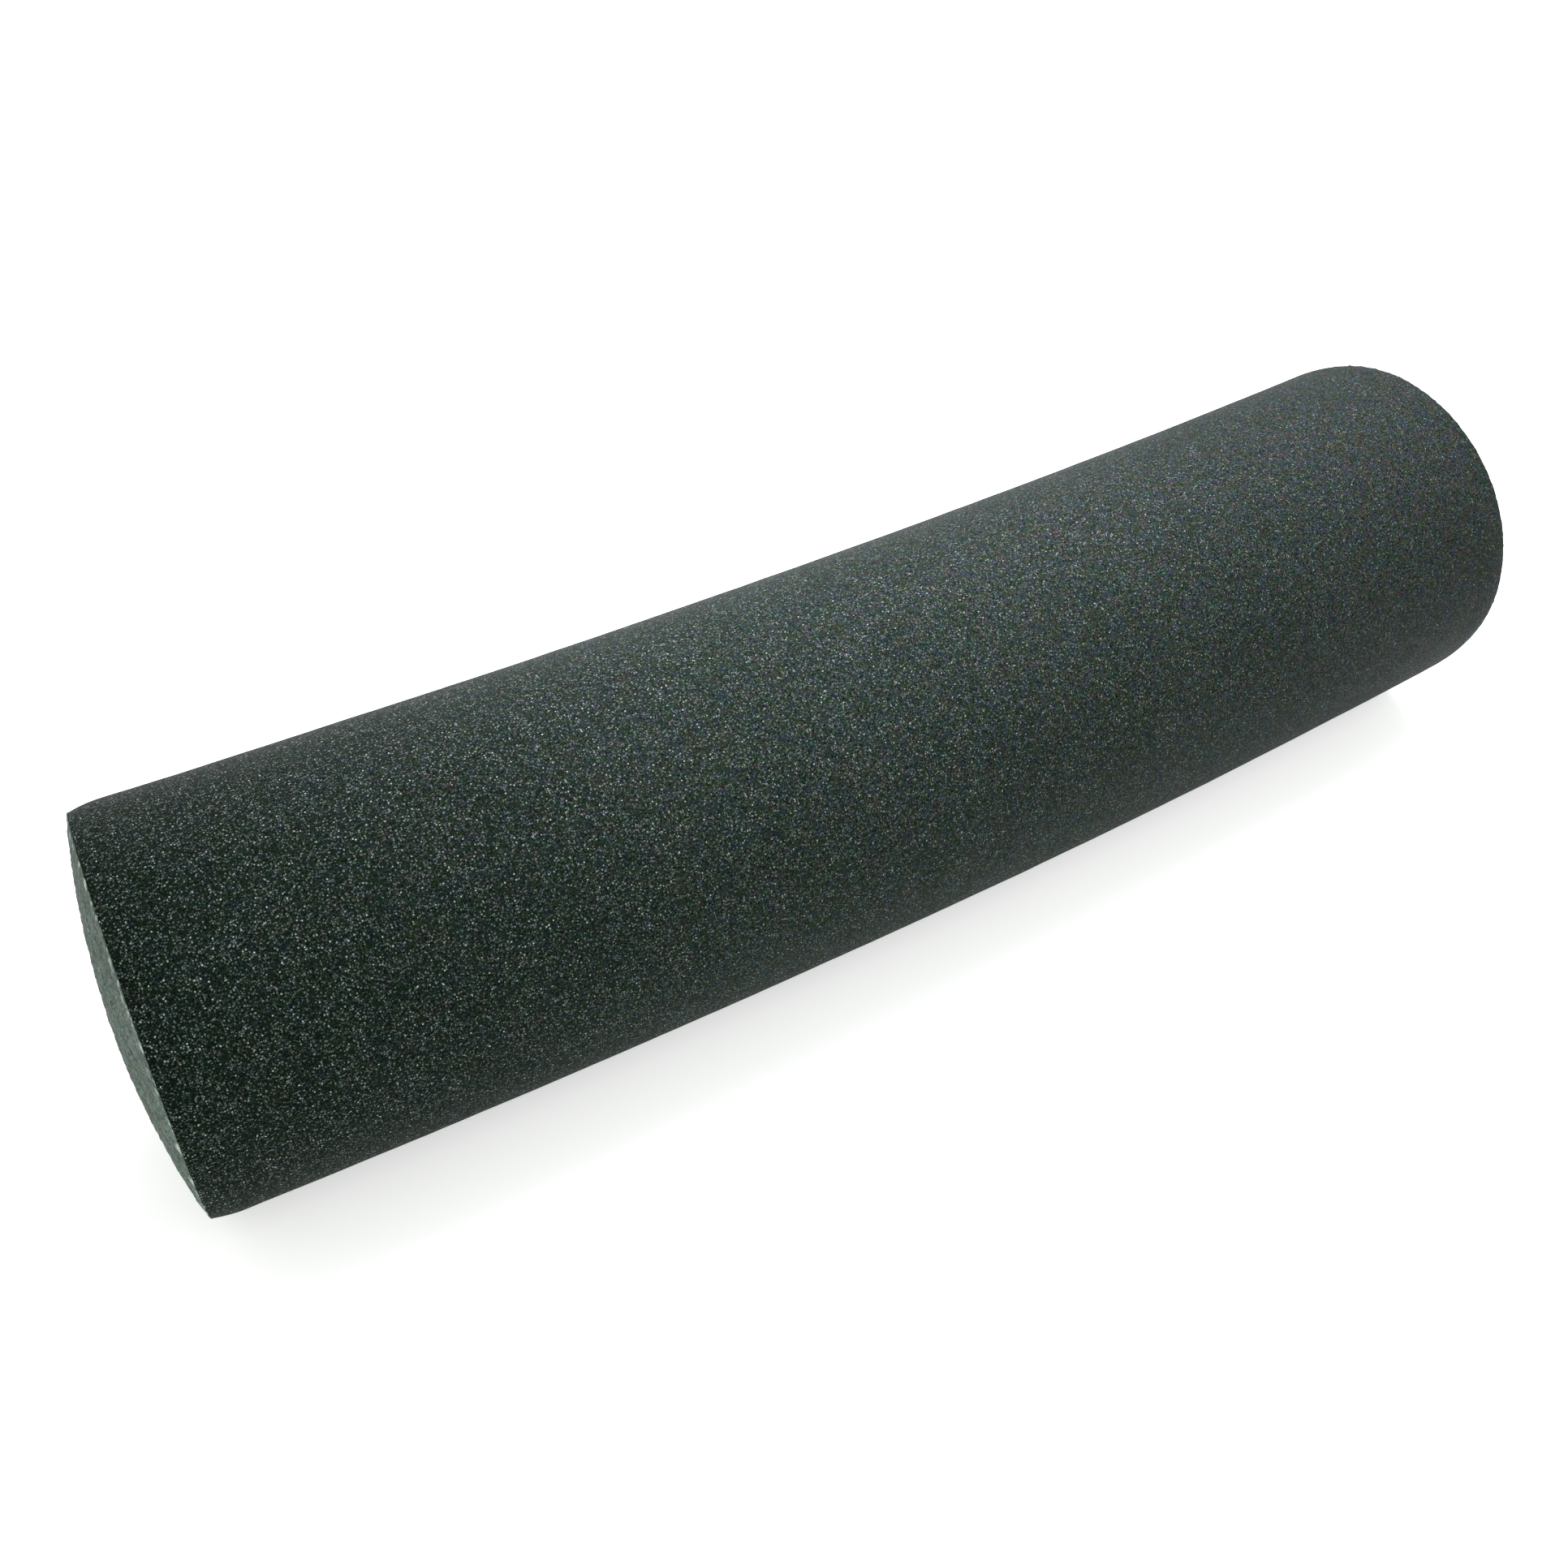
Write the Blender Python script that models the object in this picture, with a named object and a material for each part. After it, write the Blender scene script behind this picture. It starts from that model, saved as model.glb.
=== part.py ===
"""Foam roller: a bonded, all-foam massage roller, slightly bowed, with domed ends.

A low-density foam rod is the core. A sheet of denser, fine-celled foam is wrapped once
round it and glued, with one lengthwise butt joint, and a domed foam disc is glued on
each end. Nothing on it moves.

Frame: the roller lies on the floor (z = 0) along X, centred on X and Y. It is bowed in
the horizontal plane, hollow side towards +Y. Units are metres.
"""

from math import cos, pi, radians, sin

import bmesh
import bpy

# ---- driving dimensions ----
LENGTH = 0.600            # tip to tip, along the bowed centre line
DIAMETER = 0.150
BOW_SAGITTA = 0.0098      # how far the middle stands off the line through the two tips
DOME_HEIGHT = 0.0093      # bulge of an end, from its sharp edge to its tip
EDGE_LENGTH = 0.011       # the side rounds in over this length, up to the sharp edge
EDGE_FALL = 0.0015        # loss of radius there
DISC_RIM = 0.0003         # thickness of an end disc at its sharp edge
SLEEVE_THICKNESS = 0.0145
GLUE_THICKNESS = 0.0004
FILM_INSET = 0.0025       # an end's glue film stops this far short of the side
GAP = 0.0003              # clearance between pieces that touch
SEAM_ANGLE = radians(72)  # round from straight down towards +Y

# ---- faceting ----
SIDES = 60                # a facet, not a corner, lies on the floor
BODY_SPANS = 8            # straight spans along the full-diameter stretch
EDGE_STEPS = 4
DOME_STEPS = 6
APEX_RADIUS = 0.008       # small flat that closes the faceted dome
SHARP_ANGLE = radians(40) # edges sharper than this are shaded sharp

# ---- worked out from the above ----
RADIUS = DIAMETER / 2
STEP_ANGLE = 2 * pi / SIDES
BOW_RADIUS = LENGTH ** 2 / (8 * BOW_SAGITTA) + BOW_SAGITTA / 2

TIP = LENGTH / 2
DOME_START = TIP - DOME_HEIGHT
DOME_RADIUS = RADIUS - EDGE_FALL
EDGE_START = DOME_START - EDGE_LENGTH
JOINT = 2 * GAP + GLUE_THICKNESS          # a glued joint, from piece to piece
DISC_BACK = DOME_START - DISC_RIM
SLEEVE_END = DISC_BACK - JOINT

SLEEVE_INNER = RADIUS - SLEEVE_THICKNESS
CORE_RADIUS = SLEEVE_INNER - JOINT
BOW_SHIFT = -BOW_RADIUS * (1 - cos(EDGE_START / BOW_RADIUS)) / 2

MATERIALS = {
    # name: (base colour, roughness)
    "sleeve_foam": ((0.036, 0.045, 0.041), 0.95),
    "end_foam": ((0.110, 0.140, 0.120), 0.85),
    "core_foam": ((0.420, 0.430, 0.420), 0.90),
    "adhesive": ((0.620, 0.520, 0.300), 0.45),
}


def clear_scene():
    for item in list(bpy.data.objects):
        bpy.data.objects.remove(item, do_unlink=True)


def make_material(name):
    colour, roughness = MATERIALS[name]
    material = bpy.data.materials.new(name)
    material.use_nodes = True
    shader = material.node_tree.nodes["Principled BSDF"]
    shader.inputs["Base Color"].default_value = (*colour, 1)
    shader.inputs["Roughness"].default_value = roughness
    shader.inputs["Metallic"].default_value = 0
    material.diffuse_color = (*colour, 1)
    return material


# ---- points ----

def bend(along, side, up):
    """A point of the straight roller (its axis along X) carried onto the bowed one."""
    turn = along / BOW_RADIUS
    reach = BOW_RADIUS - side
    return reach * sin(turn), BOW_RADIUS - reach * cos(turn) + BOW_SHIFT, up + RADIUS


def rim_point(along, radius, angle, sideways=0.0):
    """A point at an angle from straight down, moved sideways along the facet there."""
    side = radius * sin(angle) + sideways * cos(angle)
    up = -radius * cos(angle) + sideways * sin(angle)
    return bend(along, side, up)


def corner_points(along, radius, first_angle):
    """The corners of the regular polygon whose facets lie at this radius."""
    corner_radius = radius / cos(STEP_ANGLE / 2)
    angles = [first_angle + STEP_ANGLE * index for index in range(SIDES)]
    return [rim_point(along, corner_radius, angle) for angle in angles]


def ring(along, radius):
    return corner_points(along, radius, STEP_ANGLE / 2)


def cut_ring(along, radius):
    """A ring that starts and ends on the two faces of the sleeve's butt joint."""
    start = rim_point(along, radius, SEAM_ANGLE, JOINT / 2)
    end = rim_point(along, radius, SEAM_ANGLE, -JOINT / 2)
    return [start] + corner_points(along, radius, SEAM_ANGLE + STEP_ANGLE / 2) + [end]


# ---- the outline, as distance along and radius ----

def outer_radius(along):
    """The side's radius: full, then rounded in towards the sharp edge."""
    beyond = max(abs(along) - EDGE_START, 0)
    return RADIUS - EDGE_FALL * (beyond / EDGE_LENGTH) ** 2


def body_stations():
    return [EDGE_START * (2 * index / BODY_SPANS - 1) for index in range(BODY_SPANS + 1)]


def sleeve_stations():
    """Stations along the sleeve, close together where its ends round in."""
    step = (SLEEVE_END - EDGE_START) / EDGE_STEPS
    end = [EDGE_START + step * (index + 1) for index in range(EDGE_STEPS)]
    return [-along for along in reversed(end)] + body_stations() + end


def core_stations():
    return [-SLEEVE_END] + body_stations() + [SLEEVE_END]


def disc_outline():
    """An end disc from its flat back, over its sharp edge, to its tip."""
    outline = [(DISC_BACK, outer_radius(DISC_BACK)), (DOME_START, DOME_RADIUS)]
    for index in range(DOME_STEPS):
        radius = DOME_RADIUS + (APEX_RADIUS - DOME_RADIUS) * (index + 1) / DOME_STEPS
        outline.append((TIP - DOME_HEIGHT * (radius / DOME_RADIUS) ** 2, radius))
    return outline


# ---- solids ----

def loft(name, loops, material, caps="flat"):
    """A closed solid through loops of equal length.

    caps is "flat" for one flat face on each end, "strip" for loops that run out and back
    side by side, and "none" where the last loop joins the first.
    """
    count = len(loops[0])
    mesh_faces = []
    spans = len(loops) if caps == "none" else len(loops) - 1
    for span in range(spans):
        here = span * count
        there = (span + 1) % len(loops) * count
        for index in range(count):
            after = (index + 1) % count
            mesh_faces.append((here + index, here + after, there + after, there + index))
    for start in (0, (len(loops) - 1) * count):
        if caps == "flat":
            mesh_faces.append([start + index for index in range(count)])
        if caps == "strip":
            for index in range(count // 2 - 1):
                back = count - 1 - index
                corners = (index, index + 1, back - 1, back)
                mesh_faces.append([start + corner for corner in corners])

    mesh = bpy.data.meshes.new(name)
    mesh.from_pydata([point for loop in loops for point in loop], [], mesh_faces)
    work = bmesh.new()
    work.from_mesh(mesh)
    bmesh.ops.recalc_face_normals(work, faces=work.faces)
    work.to_mesh(mesh)
    work.free()
    mesh.shade_smooth()
    mesh.set_sharp_from_angle(angle=SHARP_ANGLE)
    mesh.materials.append(material)
    piece = bpy.data.objects.new(name, mesh)
    bpy.context.scene.collection.objects.link(piece)
    return piece


def make_core(material):
    loft("core_rod", [ring(along, CORE_RADIUS) for along in core_stations()], material)


def make_core_glue(material):
    inner = CORE_RADIUS + GAP
    loops = [ring(along, inner + GLUE_THICKNESS) for along in core_stations()]
    loops += [ring(along, inner) for along in reversed(core_stations())]
    loft("core_glue_film", loops, material, caps="none")


def make_sleeve(material):
    loops = []
    for along in sleeve_stations():
        inside = cut_ring(along, SLEEVE_INNER)
        loops.append(cut_ring(along, outer_radius(along)) + inside[::-1])
    loft("outer_sleeve", loops, material, caps="strip")


def make_seam_glue(material):
    """A strip that fills the butt joint, a gap clear of the sleeve and of the film below."""
    half = GLUE_THICKNESS / 2
    loops = []
    for along in sleeve_stations():
        top = outer_radius(along) - GAP
        loops.append([
            rim_point(along, SLEEVE_INNER, SEAM_ANGLE, -half),
            rim_point(along, SLEEVE_INNER, SEAM_ANGLE, half),
            rim_point(along, top, SEAM_ANGLE, half),
            rim_point(along, top, SEAM_ANGLE, -half),
        ])
    loft("seam_glue_strip", loops, material)


def make_end(side_name, direction, foam, adhesive):
    """A domed disc and the film behind it, on the end that direction (-1 or 1) names."""
    film_back = SLEEVE_END + GAP
    film_radius = outer_radius(SLEEVE_END) - FILM_INSET
    film = [ring(direction * along, film_radius) for along in (film_back, film_back + GLUE_THICKNESS)]
    loft("end_glue_film_" + side_name, film, adhesive)
    disc = [ring(direction * along, radius) for along, radius in disc_outline()]
    loft("end_disc_" + side_name, disc, foam)


def main():
    clear_scene()
    foam = make_material("sleeve_foam")
    end_foam = make_material("end_foam")
    adhesive = make_material("adhesive")
    make_core(make_material("core_foam"))
    make_core_glue(adhesive)
    make_sleeve(foam)
    make_seam_glue(adhesive)
    make_end("left", -1, end_foam, adhesive)
    make_end("right", 1, end_foam, adhesive)


main()
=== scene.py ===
"""Looks for the foam roller: fine foam meshes, procedural foam, light and camera.

The CAD frame gives the size and place of every piece. The foam pieces and the glue in the
seam are replaced by finer meshes of the same size, and the other three films of glue keep
their CAD shape. Units are metres.
"""

from math import cos, pi, radians, sin

import bpy
import numpy as np
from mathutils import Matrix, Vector, noise


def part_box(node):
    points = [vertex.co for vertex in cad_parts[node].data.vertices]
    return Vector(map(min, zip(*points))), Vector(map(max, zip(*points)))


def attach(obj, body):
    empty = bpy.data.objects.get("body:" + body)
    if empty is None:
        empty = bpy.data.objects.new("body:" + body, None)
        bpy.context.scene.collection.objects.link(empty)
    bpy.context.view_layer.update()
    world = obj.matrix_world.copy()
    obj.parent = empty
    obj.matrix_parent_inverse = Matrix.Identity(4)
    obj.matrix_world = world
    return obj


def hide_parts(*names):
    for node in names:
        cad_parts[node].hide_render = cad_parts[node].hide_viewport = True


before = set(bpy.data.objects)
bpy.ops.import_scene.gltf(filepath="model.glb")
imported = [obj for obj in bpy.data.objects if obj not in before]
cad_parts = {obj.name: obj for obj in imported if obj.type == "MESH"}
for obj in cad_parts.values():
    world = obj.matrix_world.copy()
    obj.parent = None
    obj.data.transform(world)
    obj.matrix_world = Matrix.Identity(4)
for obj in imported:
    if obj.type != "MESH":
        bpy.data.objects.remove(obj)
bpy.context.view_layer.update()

# ---- the roller's shape, as the CAD has it ----
LENGTH = 0.600
BOW_SAGITTA = 0.0098      # the middle stands this far towards -Y off the line through the tips
DOME_HEIGHT = 0.0093
EDGE_LENGTH = 0.011       # the side rounds in over this length, up to the sharp edge
EDGE_FALL = 0.0015
DISC_RIM = 0.0003
JOINT = 0.0010            # a glued joint, from piece to piece
SEAM_ANGLE = radians(72)  # round from straight down towards +Y

SLEEVE_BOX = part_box("outer_sleeve")
CORE_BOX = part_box("core_rod")
RADIUS = (SLEEVE_BOX[1].z - SLEEVE_BOX[0].z) / 2
CORE_RADIUS = (CORE_BOX[1].z - CORE_BOX[0].z) / 2
SLEEVE_INNER = CORE_RADIUS + JOINT

TIP = LENGTH / 2
DOME_START = TIP - DOME_HEIGHT
DOME_RADIUS = RADIUS - EDGE_FALL
EDGE_START = DOME_START - EDGE_LENGTH
BOW_RADIUS = LENGTH ** 2 / (8 * BOW_SAGITTA) + BOW_SAGITTA / 2
BOW_SHIFT = -BOW_RADIUS * (1 - cos(EDGE_START / BOW_RADIUS)) / 2

# ---- how the pieces meet: the foam closes on the films of glue, which keep their CAD shape ----
CAD_SLEEVE_END = DOME_START - DISC_RIM - JOINT
SLEEVE_END = CAD_SLEEVE_END + 0.00025
DISC_BACK = CAD_SLEEVE_END + 0.00075
FILM_EDGE = 0.0717                        # outside this radius, past the film,
SLEEVE_LIP = DOME_START - 0.00035         # the sleeve reaches up to here
DISC_LIP = DOME_START - 0.00025           # and the disc down to here
SEAM_HALF = 0.00025                       # half the width of the open butt joint


# ---- points on the bowed roller ----

def bend(along, side, up):
    turn = along / BOW_RADIUS
    reach = BOW_RADIUS - side
    y = BOW_RADIUS - reach * np.cos(turn) + BOW_SHIFT
    return np.stack([reach * np.sin(turn), y, up + RADIUS], -1)


def around(along, radius, angle):
    return bend(along, radius * np.sin(angle), -radius * np.cos(angle))


def noise_field(points, size, seed):
    """Smooth noise from -1 to 1 at every point, with lumps of about this size."""
    shift = Vector((seed * 7.31, seed * 3.17, seed * 5.77))
    flat = points.reshape(-1, 3) / size
    values = [noise.noise(Vector(point) + shift) for point in flat]
    return np.array(values).reshape(points.shape[:-1])


def side_radius(along):
    """The side's radius: full, then rounded in towards the sharp edge."""
    beyond = np.clip(np.abs(along) - EDGE_START, 0, EDGE_LENGTH)
    return RADIUS - EDGE_FALL * (beyond / EDGE_LENGTH) ** 2


def settle(points):
    """Flattens what would reach below the floor."""
    points[..., 2] = np.maximum(points[..., 2], 0.0)
    return points


# ---- meshes ----

SHARP_ANGLE = radians(50)


def mesh_piece(name, points, faces):
    mesh = bpy.data.meshes.new(name)
    mesh.from_pydata(points.reshape(-1, 3).tolist(), [], faces)
    mesh.update()
    mesh.shade_smooth()
    mesh.set_sharp_from_angle(angle=SHARP_ANGLE)
    piece = bpy.data.objects.new(name, mesh)
    bpy.context.scene.collection.objects.link(piece)
    return piece


def grid_faces(rows, columns, wrap_rows, wrap_columns):
    last_row = rows if wrap_rows else rows - 1
    last_column = columns if wrap_columns else columns - 1
    faces = []
    for row in range(last_row):
        here, there = row * columns, (row + 1) % rows * columns
        for column in range(last_column):
            after = (column + 1) % columns
            faces.append((here + column, here + after, there + after, there + column))
    return faces


def tube_faces(rows, columns):
    """The faces of a closed tube of rings, with one flat cap on each end."""
    faces = grid_faces(rows, columns, False, True)
    faces.append(list(range(columns))[::-1])
    faces.append([(rows - 1) * columns + column for column in range(columns)])
    return faces


def outer_wave(points, seed):
    """How far the foam's surface stands off its true shape: long waves and small lumps."""
    return (0.00022 * noise_field(points, 0.085, seed)
            + 0.00010 * noise_field(points, 0.024, seed + 1)
            + 0.00006 * noise_field(points, 0.0065, seed + 2))


SLEEVE_ROWS = 236
EDGE_ROWS = 12
INNER_ROWS = 10
COLUMNS = 316
SEAM_OFFSETS = (0.0004, 0.0009, 0.0016, 0.0026, 0.0040)


def seam_angles():
    """Angles round the sleeve from one face of the butt joint to the other."""
    first = SEAM_ANGLE + SEAM_HALF / RADIUS
    last = SEAM_ANGLE + 2 * pi - SEAM_HALF / RADIUS
    start = [first + offset / RADIUS for offset in (0.0,) + SEAM_OFFSETS]
    end = [last - offset / RADIUS for offset in (0.0,) + SEAM_OFFSETS]
    middle = np.linspace(start[-1], end[-1], COLUMNS - 2 * len(start) + 2)[1:-1]
    return np.array(start + middle.tolist() + end[::-1])


def make_sleeve():
    flat = np.linspace(-EDGE_START, EDGE_START, SLEEVE_ROWS)
    edge = np.linspace(EDGE_START, SLEEVE_LIP, EDGE_ROWS + 1)[1:]
    along = np.concatenate([-edge[::-1], flat, edge])
    angle = seam_angles()
    grid_along, grid_angle = np.meshgrid(along, angle, indexing="ij")
    radius = side_radius(grid_along)
    base = around(grid_along, radius, grid_angle)
    radius = radius + outer_wave(base, 1)

    from_seam = np.abs((grid_angle - SEAM_ANGLE + pi) % (2 * pi) - pi) * RADIUS
    seam_depth = 0.00032 + 0.00012 * noise_field(base, 0.012, 5)
    radius = radius - seam_depth * np.exp(-(from_seam / 0.0013) ** 2)

    # the cut edge is a little ragged
    near_end = np.clip(1 - (SLEEVE_LIP - np.abs(grid_along)) / 0.0016, 0, 1)
    radius = radius + near_end * 0.00018 * noise_field(base, 0.0022, 7)
    outer = settle(around(grid_along, radius, grid_angle))

    # from the outer edge: over the end, through the bore, and back over the other end
    end = [(SLEEVE_LIP, FILM_EDGE + 0.0005), (SLEEVE_END, FILM_EDGE + 0.0002), (SLEEVE_END, 0.066)]
    bore = [(place, SLEEVE_INNER) for place in np.linspace(SLEEVE_END, -SLEEVE_END, INNER_ROWS)]
    start = [(-place, reach) for place, reach in reversed(end)]
    rings = []
    for place, reach in end + bore + start:
        rings.append(around(np.full_like(angle, place), np.full_like(angle, reach), angle))
    points = np.concatenate([outer, np.stack(rings)], 0)

    rows, columns = points.shape[:2]
    faces = grid_faces(rows, columns, True, False)
    faces.append([row * columns for row in range(rows)][::-1])
    faces.append([row * columns + columns - 1 for row in range(rows)])
    return mesh_piece("foam_sleeve", points, faces)


def make_seam():
    """The line of adhesive in the butt joint, slightly uneven and just below the surface."""
    along = np.linspace(-SLEEVE_END, SLEEVE_END, 420)
    base = around(along, side_radius(along), np.full_like(along, SEAM_ANGLE))
    top = side_radius(along) - 0.00050 + 0.00016 * noise_field(base, 0.006, 11)
    half = 0.00020 / RADIUS
    loops = []
    for radius, shift in ((np.full_like(along, SLEEVE_INNER + 0.0003), -half),
                          (np.full_like(along, SLEEVE_INNER + 0.0003), half),
                          (top - 0.0001, half), (top, half * 0.5), (top, -half * 0.5),
                          (top - 0.0001, -half)):
        loops.append(around(along, radius, SEAM_ANGLE + shift))
    points = np.stack(loops, 1)
    return mesh_piece("seam_glue_line", points, tube_faces(*points.shape[:2]))


DISC_COLUMNS = 640
DOME_ROWS = 122
RIM_ROUND = 0.00022       # the sharp edge is broken by this much
SHOULDER = 0.068          # outside this radius the dome's surface starts to face outwards


def disc_outline():
    """The disc from the middle of its back, round its lip and sharp edge, to near its tip."""
    back = [(DISC_BACK, radius) for radius in np.linspace(0.004, FILM_EDGE - 0.0001, 7)]
    lip = [(DISC_LIP, FILM_EDGE + 0.0002), (DISC_LIP, DOME_RADIUS - RIM_ROUND)]
    edge = []
    for turn in np.linspace(0, 3 * pi / 8, 4):
        place = DOME_START - RIM_ROUND * (1 - sin(turn))
        edge.append((place, DOME_RADIUS - RIM_ROUND * (1 - cos(turn))))
    dome = []
    for share in np.linspace(0, 1, DOME_ROWS):
        radius = (DOME_RADIUS - RIM_ROUND) * (1 - share ** 1.25) + 0.0016 * share
        dome.append((TIP - DOME_HEIGHT * (radius / DOME_RADIUS) ** 2, radius))
    return back + lip + edge + dome, len(back) + len(lip)


def make_disc(side_name, direction, seed):
    outline, first_outer = disc_outline()
    along = np.array([place for place, _ in outline])[:, None]
    radius = np.array([reach for _, reach in outline])[:, None]
    angle = np.linspace(0, 2 * pi, DISC_COLUMNS, endpoint=False)[None, :]
    along, radius, angle = np.broadcast_arrays(along, radius, angle)
    base = around(direction * along, radius, angle)
    outer = (np.arange(len(outline)) >= first_outer)[:, None]
    near_rim = np.clip(1 - np.abs(radius - DOME_RADIUS) / 0.0020, 0, 1)
    ragged = near_rim * (0.00016 * noise_field(base, 0.0030, seed + 4)
                         + 0.00010 * noise_field(base, 0.0011, seed + 5))
    pits = (0.00040 * noise_field(base, 0.0024, seed + 6)
            + 0.00016 * noise_field(base, 0.0014, seed + 7))
    lift = outer * (outer_wave(base, seed) + ragged + pits)
    # on the dome the surface moves along the roller, at the rim it moves outwards
    lean = np.clip((radius - SHOULDER) / (DOME_RADIUS - SHOULDER), 0, 1)
    points = settle(around(direction * (along + lift * (1 - lean)), radius + lift * lean, angle))
    faces = tube_faces(*points.shape[:2])
    if direction > 0:
        faces = [tuple(face)[::-1] for face in faces]
    return mesh_piece("foam_disc_" + side_name, points, faces)


CORE_ROWS = 120
CORE_COLUMNS = 180
CORE_END_SHARES = (0.03, 0.35, 0.7)       # rings on the flat ends, as shares of the radius


def make_core():
    """The rod: closed-cell foam with a faint spiral left by the extruder."""
    reach = CAD_SLEEVE_END - 0.0002
    turn = np.linspace(0, 2 * pi, CORE_COLUMNS, endpoint=False)
    along, angle = np.meshgrid(np.linspace(-reach, reach, CORE_ROWS), turn, indexing="ij")
    base = around(along, CORE_RADIUS, angle)
    ripple = 0.00005 * np.sin(angle * 9 + along * 160) - 0.00005
    radius = CORE_RADIUS + ripple + 0.00008 * (noise_field(base, 0.03, 21) - 1)
    start = [around(along[0], radius[0] * share, turn) for share in CORE_END_SHARES]
    end = [around(along[-1], radius[-1] * share, turn) for share in CORE_END_SHARES[::-1]]
    points = np.concatenate([np.stack(start), around(along, radius, angle), np.stack(end)], 0)
    faces = [tuple(face)[::-1] for face in tube_faces(*points.shape[:2])]
    return mesh_piece("foam_core", points, faces)


# ---- materials ----

class Nodes:
    """Short calls for building a node tree."""

    def __init__(self, name):
        self.material = bpy.data.materials.new(name)
        self.material.use_nodes = True
        self.tree = self.material.node_tree
        self.shader = self.tree.nodes["Principled BSDF"]
        self.place = self.tree.nodes.new("ShaderNodeTexCoord").outputs["Object"]

    def link(self, source, target):
        self.tree.links.new(source, target)

    def voronoi(self, size, output="Distance"):
        node = self.tree.nodes.new("ShaderNodeTexVoronoi")
        node.inputs["Scale"].default_value = 1 / size
        self.link(self.place, node.inputs["Vector"])
        return node.outputs[output]

    def noise(self, size, detail=2.0, roughness=0.5):
        node = self.tree.nodes.new("ShaderNodeTexNoise")
        node.inputs["Scale"].default_value = 1 / size
        node.inputs["Detail"].default_value = detail
        node.inputs["Roughness"].default_value = roughness
        self.link(self.place, node.inputs["Vector"])
        return node.outputs["Fac"]

    def along(self):
        node = self.tree.nodes.new("ShaderNodeSeparateXYZ")
        self.link(self.place, node.inputs["Vector"])
        return node.outputs["X"]

    def distance(self, point):
        node = self.tree.nodes.new("ShaderNodeVectorMath")
        node.operation = "DISTANCE"
        node.inputs[1].default_value = point
        self.link(self.place, node.inputs[0])
        return node.outputs["Value"]

    def ramp(self, value, low, high, low_out=0.0, high_out=1.0):
        """A straight run from low_out to high_out while value goes from low to high."""
        node = self.tree.nodes.new("ShaderNodeMapRange")
        node.inputs["From Min"].default_value = low
        node.inputs["From Max"].default_value = high
        node.inputs["To Min"].default_value = low_out
        node.inputs["To Max"].default_value = high_out
        self.link(value, node.inputs["Value"])
        return node.outputs["Result"]

    def math(self, operation, first, second):
        node = self.tree.nodes.new("ShaderNodeMath")
        node.operation = operation
        for index, value in enumerate((first, second)):
            if isinstance(value, (int, float)):
                node.inputs[index].default_value = value
            else:
                self.link(value, node.inputs[index])
        return node.outputs["Value"]

    def mix(self, factor, first, second, blend="MIX"):
        node = self.tree.nodes.new("ShaderNodeMix")
        node.data_type = "RGBA"
        node.blend_type = blend
        sockets = node.inputs[0], node.inputs[6], node.inputs[7]
        for socket, value in zip(sockets, (factor, first, second)):
            if isinstance(value, (int, float)):
                socket.default_value = value
            elif isinstance(value, tuple):
                socket.default_value = (*value, 1)
            else:
                self.link(value, socket)
        return node.outputs[2]

    def first_channel(self, colour):
        node = self.tree.nodes.new("ShaderNodeSeparateColor")
        self.link(colour, node.inputs["Color"])
        return node.outputs["Red"]

    def bump(self, height, distance, strength=1.0):
        node = self.tree.nodes.new("ShaderNodeBump")
        node.inputs["Distance"].default_value = distance
        node.inputs["Strength"].default_value = strength
        self.link(height, node.inputs["Height"])
        return node.outputs["Normal"]


def dots(n, size, reach, lively, core=0.2):
    """Round spots, at most one to a cell, most of them faint and a few far stronger."""
    spot = n.ramp(n.voronoi(size), reach, reach * core)
    strength = n.first_channel(n.voronoi(size, output="Color"))
    return n.math("MULTIPLY", spot, n.math("POWER", strength, lively))


def tinted(n, colour, size, first, second, amount=1.0):
    """Multiplies the colour by a tint that drifts from first to second in patches of this size."""
    share = n.ramp(n.noise(size, detail=2.0), 0.36, 0.64)
    return n.mix(amount, colour, n.mix(share, first, second), "MULTIPLY")


PLAIN = (1, 1, 1)
# painted light and shade along the roller: darker and greener at the left end, lighter and greyer
# at the right
LEFT, MIDDLE, RIGHT = -0.30, -0.08, 0.30     # where the tints along the roller lie


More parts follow.
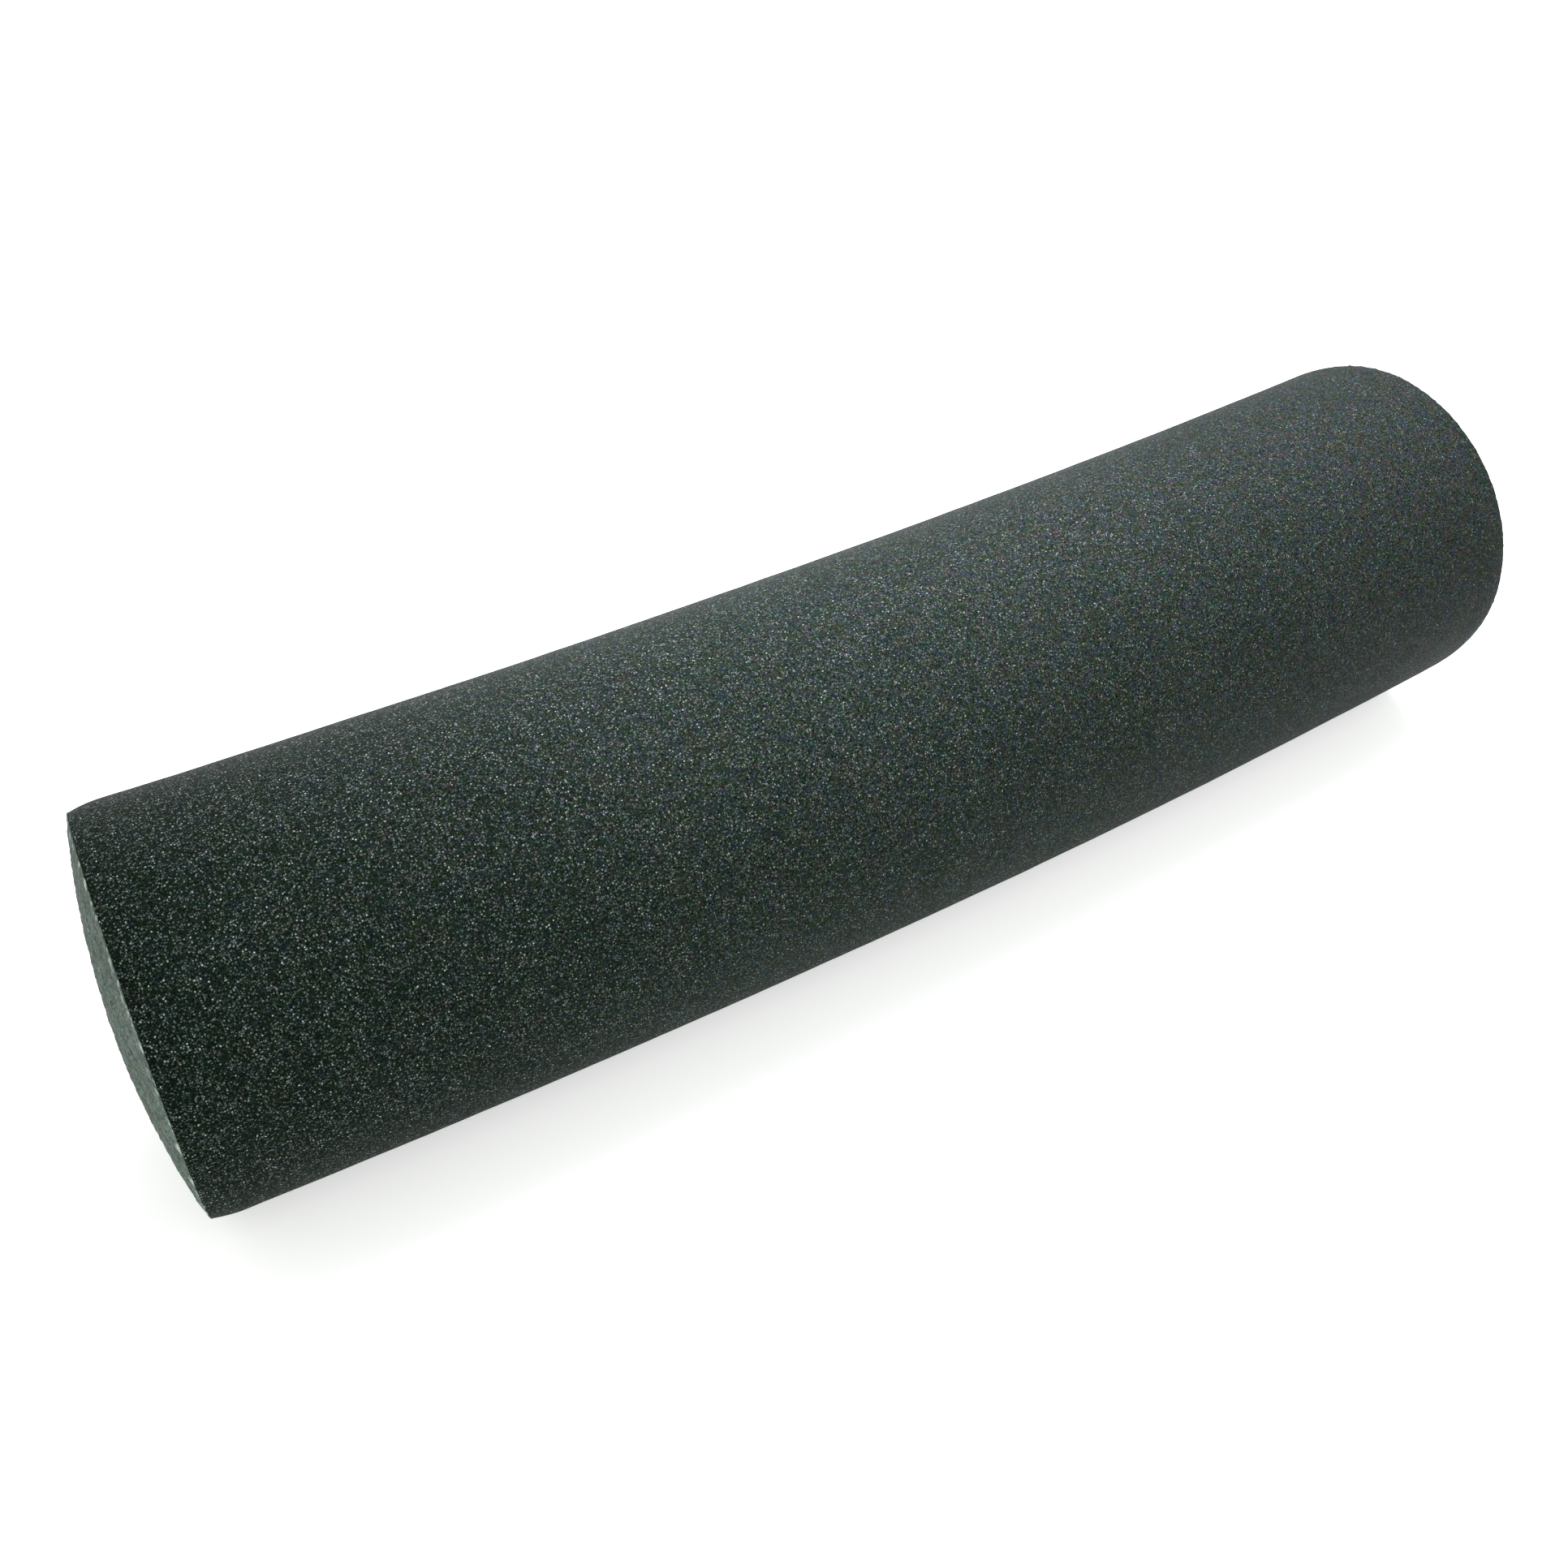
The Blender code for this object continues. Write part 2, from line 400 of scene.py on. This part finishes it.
def foam(name, shade, body, spot, cell, bump, spots=1.0, gloss=0.15, tints=1.0,
         left_painted_shade=PLAIN, middle_painted_light=PLAIN, right_painted_light=PLAIN, blotch=0.0, edge=None):
    """Fine-celled foam: a porous ground, with bright spots at the cell walls that are painted
    glints.

    shade, body and spot are the colours of the pores, the ground and the glints, and cell is the
    size of a cell. spots and tints say how strong those layers are, and blotch how uneven the
    brightness is. The three tints pass into each other along the roller: painted shade at the left
    end and painted light towards the right, and the painted glints fade the same way. edge is the
    centre of a disc's sharp edge, and the paler flecks near that edge are a painted highlight.
    """
    n = Nodes(name)
    ground = n.noise(cell * 0.60, detail=2.0, roughness=0.7)
    colour = n.mix(n.ramp(ground, 0.34, 0.72), shade, body)
    # painted light and shade: the colour is darkened at the left end and lightened towards the
    # right end
    painted_light_drift = n.mix(n.ramp(n.along(), MIDDLE, RIGHT), middle_painted_light, right_painted_light)
    painted_light_drift = n.mix(n.ramp(n.along(), LEFT, MIDDLE), left_painted_shade, painted_light_drift)
    colour = n.mix(1.0, colour, painted_light_drift, "MULTIPLY")

    # slow and quick drifts of hue, green to violet and blue to brown
    colour = tinted(n, colour, 0.060, (0.92, 0.96, 0.94), (1.08, 1.04, 1.06))
    colour = tinted(n, colour, 0.0026, (0.80, 1.08, 0.70), (1.20, 0.94, 1.42), tints)
    colour = tinted(n, colour, 0.0048, (0.80, 1.01, 1.18), (1.22, 0.98, 0.84), tints)
    if blotch:
        colour = tinted(n, colour, 0.0055, (1 - blotch,) * 3, (1 + blotch,) * 3)

    colour = n.mix(dots(n, cell * 1.25, 0.46, 0.7, core=0.6), colour, shade)

    # painted glints: bright spots in the colour where cell walls would catch the light
    fine = n.math("MULTIPLY", dots(n, cell * 0.75, 0.58, 3.0), 0.34)
    middle = n.math("MULTIPLY", dots(n, cell * 1.1, 0.38, 7.0), 0.90)
    coarse = dots(n, cell * 2.4, 0.18, 6.0)
    share = n.math("MINIMUM", n.math("ADD", n.math("ADD", fine, middle), coarse), 1.0)
    # the painted glints grow fainter from the left end to the right end
    painted_glint_fade = n.ramp(n.along(), LEFT, RIGHT, 1.08 * spots, 0.44 * spots)
    colour = n.mix(n.math("MULTIPLY", share, painted_glint_fade), colour, spot)

    if edge is not None:
        # painted highlight: paler flecks along the disc's sharp edge, broken up by noise
        near_edge = n.ramp(n.distance(edge), DOME_RADIUS - 0.0040, DOME_RADIUS - 0.0014)
        highlight_breaks = n.ramp(n.noise(0.0050, detail=4.0), 0.53, 0.60)
        edge_highlight = n.math("MULTIPLY", n.math("MULTIPLY", near_edge, highlight_breaks), 0.9)
        colour = n.mix(edge_highlight, colour, spot)

    n.link(colour, n.shader.inputs["Base Color"])
    n.link(n.bump(ground, bump), n.shader.inputs["Normal"])
    n.shader.inputs["Roughness"].default_value = 0.60
    n.shader.inputs["Specular IOR Level"].default_value = gloss
    return n.material


def adhesive(name):
    n = Nodes(name)
    streaks = n.noise(0.0035, detail=4.0)
    colour = n.mix(n.ramp(streaks, 0.3, 0.7), (0.20, 0.14, 0.06), (0.42, 0.33, 0.16))
    n.link(colour, n.shader.inputs["Base Color"])
    n.link(n.bump(streaks, 0.0002, 0.6), n.shader.inputs["Normal"])
    n.link(n.ramp(streaks, 0.3, 0.7, 0.25, 0.55), n.shader.inputs["Roughness"])
    return n.material


def floor_material():
    n = Nodes("studio_floor")
    tone = n.ramp(n.noise(0.4, detail=1.0), 0.3, 0.7, 0.985, 1.0)
    n.link(n.mix(1.0, (0.80, 0.80, 0.80), tone, "MULTIPLY"), n.shader.inputs["Base Color"])
    n.shader.inputs["Roughness"].default_value = 0.9
    n.shader.inputs["Specular IOR Level"].default_value = 0.1
    n.shader.inputs["Emission Color"].default_value = (1.0, 1.0, 1.0, 1)
    n.shader.inputs["Emission Strength"].default_value = 0.48
    return n.material


# ---- the pieces and what they stand for ----

def dress(piece, node, material):
    piece.data.materials.clear()
    piece.data.materials.append(material)
    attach(piece, "root")
    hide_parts(node)


# the sleeve's tints are painted shade at the left end and painted light towards the right end
SLEEVE_FOAM = foam("sleeve_foam", shade=(0.0008, 0.0020, 0.0010), body=(0.0205, 0.0335, 0.0260),
                   spot=(0.50, 0.57, 0.54), cell=0.00088, bump=0.0003, gloss=0.02,
                   left_painted_shade=(0.32, 0.54, 0.38), middle_painted_light=(1.12, 1.12, 1.08),
                   right_painted_light=(1.74, 1.38, 1.53))


# The end discs' foam is paler than the sleeve's: partly its own colour, partly painted sheen of
# foam seen edge-on.
def end_foam(side_name, direction):
    middle = bend(direction * DOME_START, 0.0, 0.0)
    return foam("end_foam_" + side_name, shade=(0.050, 0.072, 0.057), body=(0.180, 0.222, 0.192),
                spot=(0.46, 0.54, 0.46), cell=0.0015, bump=0.0005, spots=0.75, gloss=0.02,
                tints=0.45, blotch=0.26, edge=middle)


CORE_FOAM = foam("core_foam", shade=(0.28, 0.29, 0.28), body=(0.48, 0.49, 0.48),
                 spot=(0.75, 0.75, 0.75), cell=0.0016, bump=0.0003, spots=0.3)
ADHESIVE = adhesive("adhesive")

sleeve = make_sleeve()
dress(sleeve, "outer_sleeve", SLEEVE_FOAM)

seam = make_seam()
dress(seam, "seam_glue_strip", ADHESIVE)

for side_name, direction, seed in (("left", -1, 31), ("right", 1, 41)):
    disc = make_disc(side_name, direction, seed)
    dress(disc, "end_disc_" + side_name, end_foam(side_name, direction))

core = make_core()
dress(core, "core_rod", CORE_FOAM)

for name in ("core_glue_film", "end_glue_film_left", "end_glue_film_right"):
    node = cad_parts[name]
    node.data.materials.clear()
    node.data.materials.append(ADHESIVE)


# ---- studio ----

FLOOR_REACH = 12.0


def make_floor():
    signs = (-1, -1), (1, -1), (1, 1), (-1, 1)
    corners = [(x * FLOOR_REACH, y * FLOOR_REACH, 0) for x, y in signs]
    mesh = bpy.data.meshes.new("floor")
    mesh.from_pydata(corners, [], [(0, 1, 2, 3)])
    mesh.materials.append(floor_material())
    floor = bpy.data.objects.new("floor", mesh)
    bpy.context.scene.collection.objects.link(floor)


def aim(item, place, target):
    item.location = place
    item.rotation_euler = (Vector(target) - Vector(place)).to_track_quat("-Z", "Y").to_euler()


def softbox(name, place, target, width, height, power, colour=(1, 1, 1)):
    light = bpy.data.lights.new(name, "AREA")
    light.shape = "RECTANGLE"
    light.size = width
    light.size_y = height
    light.energy = power
    light.color = colour
    item = bpy.data.objects.new(name, light)
    aim(item, place, target)
    bpy.context.scene.collection.objects.link(item)


def make_lights():
    tint = (1.0, 0.96, 1.06)
    softbox("key", (0.0, 0.03, 0.36), (0, 0, RADIUS), 0.30, 0.20, 1.05, tint)
    softbox("right", (0.35, 0.10, 0.50), (0.18, 0, RADIUS), 0.40, 0.35, 3.7, tint)
    softbox("front", (0.18, -0.55, 0.65), (0.06, 0, RADIUS), 0.50, 0.40, 1.7)
    softbox("back", (0.05, 0.70, 0.35), (0, 0, RADIUS), 0.60, 0.30, 3.3, tint)
    world = bpy.data.worlds.new("studio")
    world.use_nodes = True
    world.node_tree.nodes["Background"].inputs["Color"].default_value = (0.97, 1.0, 0.96, 1)
    world.node_tree.nodes["Background"].inputs["Strength"].default_value = 0.86
    bpy.context.scene.world = world


CAMERA_PLACE = (-0.2949, -0.4310, 0.5329)
CAMERA_YAW = 0.5430       # from +Y towards +X
CAMERA_PITCH = 0.7493     # downwards
CAMERA_LENS = 39.19       # millimetres, on a 36 mm sensor


def make_camera():
    data = bpy.data.cameras.new("camera")
    data.lens = CAMERA_LENS
    data.sensor_width = 36
    camera = bpy.data.objects.new("camera", data)
    level = cos(CAMERA_PITCH)
    ahead = Vector((sin(CAMERA_YAW) * level, cos(CAMERA_YAW) * level, -sin(CAMERA_PITCH)))
    aim(camera, CAMERA_PLACE, Vector(CAMERA_PLACE) + ahead)
    bpy.context.scene.collection.objects.link(camera)
    bpy.context.scene.camera = camera


make_floor()
make_lights()
make_camera()
bpy.context.scene.view_settings.view_transform = "Standard"
